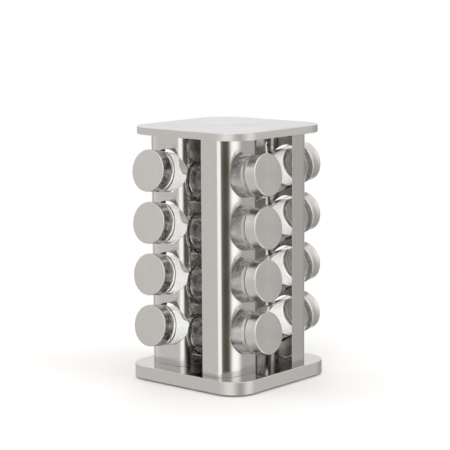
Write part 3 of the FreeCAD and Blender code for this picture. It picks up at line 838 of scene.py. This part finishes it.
def finish_cad_nodes():
    """Materials for the pieces that keep their CAD shape."""
    for node, key in {
        "base_stiffener": "zinc",
        "top_stiffener": "zinc",
        "top_screws": "screw",
        "base_screws": "screw",
        "swivel_screws": "screw",
        "swivel_centre_screw": "screw",
        "swivel_washer": "zinc",
        "swivel_upper_race": "plastic",
        "swivel_lower_race": "plastic",
        "ball_cage": "plastic",
        "bearing_balls": "ball",
        "foot_pads": "rubber",
    }.items():
        mesh = frame["nodes"][node].data
        mesh.materials.clear()
        mesh.materials.append(MATERIALS[key])


# Studio and camera

FLOOR_RADIUS = 0.9
FLOOR_FADE_START = 0.3

# Brightness of the studio round the horizon, by bearing in degrees from +X.
STUDIO_BANDS = (
    (-180, 0.95),
    (-150, 0.80),
    (-92, 0.78),
    (-78, 1.50),
    (-50, 1.50),
    (-36, 0.25),
    (-26, 0.10),
    (-8, 0.10),
    (4, 1.65),
    (24, 1.60),
    (42, 0.62),
    (62, 0.52),
    (100, 0.42),
    (118, 0.95),
    (150, 1.00),
    (162, 0.40),
    (180, 0.95),
)
BRIGHTEST = 2.0  # the ramp's values are shares of this
LIGHT_TINT = (1.0, 0.985, 0.965)
DARK_TINT = (1.0, 0.88, 0.66)
DARK_BELOW = 0.3
SKY_GLOW = 0.5
FILL = 0.65  # the dark gaps end in this soft light a little way up
FILL_RISE = 2.2


def make_world():
    """White behind the object, and for everything else soft lights and dark gaps all round."""
    world = bpy.data.worlds.new("studio")
    bpy.context.scene.world = world
    world.use_nodes = True
    nodes, links = world.node_tree.nodes, world.node_tree.links
    background = nodes["Background"]

    def math_node(operation, *values):
        node = nodes.new("ShaderNodeMath")
        node.operation = operation
        for socket, value in zip(node.inputs, values):
            if isinstance(value, (int, float)):
                socket.default_value = value
            else:
                links.new(value, socket)
        return node.outputs["Value"]

    direction = nodes.new("ShaderNodeTexCoord")
    split = nodes.new("ShaderNodeSeparateXYZ")
    links.new(direction.outputs["Generated"], split.inputs["Vector"])
    bearing = math_node("ARCTAN2", split.outputs["Y"], split.outputs["X"])
    share = math_node("MULTIPLY_ADD", bearing, 1 / (2 * math.pi), 0.5)
    ramp = nodes.new("ShaderNodeValToRGB")
    links.new(share, ramp.inputs["Fac"])
    stops = ramp.color_ramp.elements
    for index, (angle, brightness) in enumerate(STUDIO_BANDS):
        place = (angle + 180) / 360
        stop = stops[index] if index < 2 else stops.new(place)
        stop.position = place
        tint = DARK_TINT if brightness < DARK_BELOW else LIGHT_TINT
        stop.color = (*[brightness / BRIGHTEST * channel for channel in tint], 1)
    above = math_node("MAXIMUM", split.outputs["Z"], 0.0)
    sky = math_node("MULTIPLY", above, SKY_GLOW)
    rising = math_node("MULTIPLY", above, FILL_RISE / BRIGHTEST)
    fill = math_node("MINIMUM", rising, FILL / BRIGHTEST)
    filled = nodes.new("ShaderNodeVectorMath")
    filled.operation = "MAXIMUM"
    links.new(ramp.outputs["Color"], filled.inputs[0])
    links.new(fill, filled.inputs[1])
    glow = nodes.new("ShaderNodeVectorMath")
    glow.operation = "MULTIPLY_ADD"
    glow.inputs[1].default_value = (BRIGHTEST, BRIGHTEST, BRIGHTEST)
    links.new(filled.outputs["Vector"], glow.inputs[0])
    links.new(sky, glow.inputs[2])
    path = nodes.new("ShaderNodeLightPath")
    choose = nodes.new("ShaderNodeMix")
    choose.data_type = "RGBA"
    choose.inputs["B"].default_value = (1, 1, 1, 1)
    links.new(path.outputs["Is Camera Ray"], choose.inputs["Factor"])
    links.new(glow.outputs["Vector"], choose.inputs["A"])
    links.new(choose.outputs["Result"], background.inputs["Color"])


def make_floor():
    """A pale floor that fades into the white surround."""
    material, nodes, links = new_material("floor_paper")
    shader = nodes["Principled BSDF"]
    shader.inputs["Base Color"].default_value = (0.9, 0.9, 0.9, 1)
    shader.inputs["Roughness"].default_value = 0.9
    clear = nodes.new("ShaderNodeBsdfTransparent")
    mix = nodes.new("ShaderNodeMixShader")
    place = nodes.new("ShaderNodeTexCoord")
    reach = nodes.new("ShaderNodeVectorMath")
    reach.operation = "LENGTH"
    fade = nodes.new("ShaderNodeMapRange")
    fade.interpolation_type = "SMOOTHSTEP"
    fade.inputs["From Min"].default_value = FLOOR_FADE_START
    fade.inputs["From Max"].default_value = FLOOR_RADIUS
    links.new(place.outputs["Object"], reach.inputs[0])
    links.new(reach.outputs["Value"], fade.inputs["Value"])
    links.new(fade.outputs["Result"], mix.inputs["Fac"])
    links.new(shader.outputs["BSDF"], mix.inputs[1])
    links.new(clear.outputs["BSDF"], mix.inputs[2])
    links.new(mix.outputs["Shader"], nodes["Material Output"].inputs["Surface"])
    ring = [
        (FLOOR_RADIUS * math.cos(math.radians(a)), FLOOR_RADIUS * math.sin(math.radians(a)), 0)
        for a in range(0, 360, 5)
    ]
    mesh = bpy.data.meshes.new("floor")
    mesh.from_pydata(ring, [], [tuple(range(len(ring)))])
    mesh.materials.append(material)
    floor = bpy.data.objects.new("floor", mesh)
    bpy.context.scene.collection.objects.link(floor)
    floor.visible_glossy = False
    floor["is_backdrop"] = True
    bpy.context.scene.view_settings.view_transform = "Standard"


def make_camera():
    """The camera looks down a little at one corner of the rack, from far off."""
    azimuth, elevation = math.radians(CAMERA_AZIMUTH), math.radians(CAMERA_ELEVATION)
    back = Vector((
        math.sin(azimuth) * math.cos(elevation),
        -math.cos(azimuth) * math.cos(elevation),
        math.sin(elevation),
    ))
    right = Vector((0, 0, 1)).cross(back).normalized()
    up = back.cross(right)
    matrix = Matrix((right, up, back)).transposed().to_4x4()
    data = bpy.data.cameras.new("camera")
    data.lens = CAMERA_LENS
    data.sensor_width = SENSOR_WIDTH
    data.shift_x, data.shift_y = CAMERA_SHIFT
    data.clip_end = 50
    camera = bpy.data.objects.new("camera", data)
    roll = Matrix.Rotation(math.radians(CAMERA_ROLL), 4, "Z")
    camera.matrix_world = Matrix.Translation(CAMERA_AIM + back * CAMERA_DISTANCE) @ matrix @ roll
    bpy.context.scene.collection.objects.link(camera)
    bpy.context.scene.camera = camera


make_camera()
make_world()
make_floor()
make_plates()
make_columns()
make_jars()
finish_cad_nodes()

visual_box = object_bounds()
boxes = {"cad": cad_box, "visual": visual_box}
{name: [list(corner) for corner in box] for name, box in boxes.items()}
